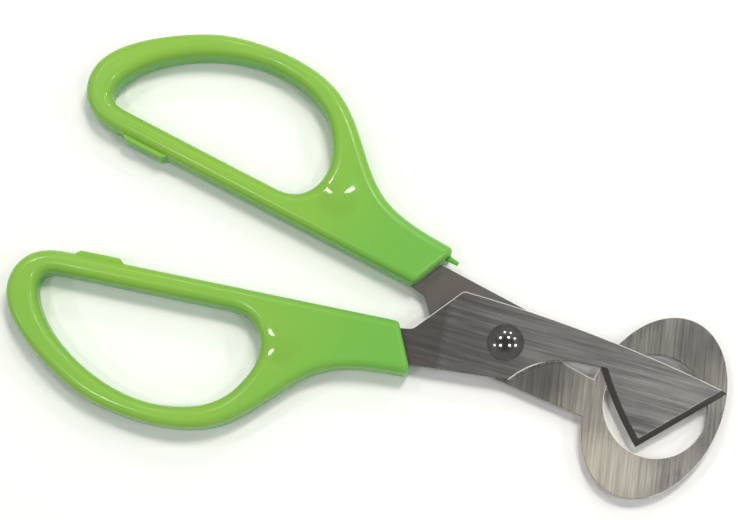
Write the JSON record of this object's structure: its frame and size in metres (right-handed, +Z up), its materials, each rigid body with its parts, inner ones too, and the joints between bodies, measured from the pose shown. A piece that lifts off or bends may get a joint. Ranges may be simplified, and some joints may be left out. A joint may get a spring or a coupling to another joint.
{
  "type": "egg topper",
  "caption": "Scissor-action quail egg topper: an oval ring plate holds the egg and a pivoting pointed blade crosses its hole; moulded finger-loop handles.",
  "frame": {"origin": "middle of the tool's footprint at rest, on the surface it lies on", "axes": "+X along the tool from the finger loops to the ring, +Z up, the ring half's handle on the +Y side"},
  "size_m": [0.1408, 0.079, 0.008],
  "materials": {
    "ring_steel": "cross-brushed stainless sheet",
    "blade_steel": "lengthwise brushed stainless sheet",
    "handle_plastic": "glossy apple green moulding",
    "rivet_steel": "polished dome"
  },
  "bodies": {
    "ring_half": {"ring_plate": "ring_steel", "ring_handle": "handle_plastic", "pivot_rivet": "rivet_steel"},
    "blade_half": {"cutting_blade": "blade_steel", "blade_handle": "handle_plastic"}
  },
  "joints": [
    {"name": "scissor_pivot", "type": "hinge", "parent": "ring_half", "child": "blade_half", "pos_m": [0.02566, -0.00059, 0.004], "axis": [0, 0, 1], "range_deg": [-15.8, 110]}
  ]
}
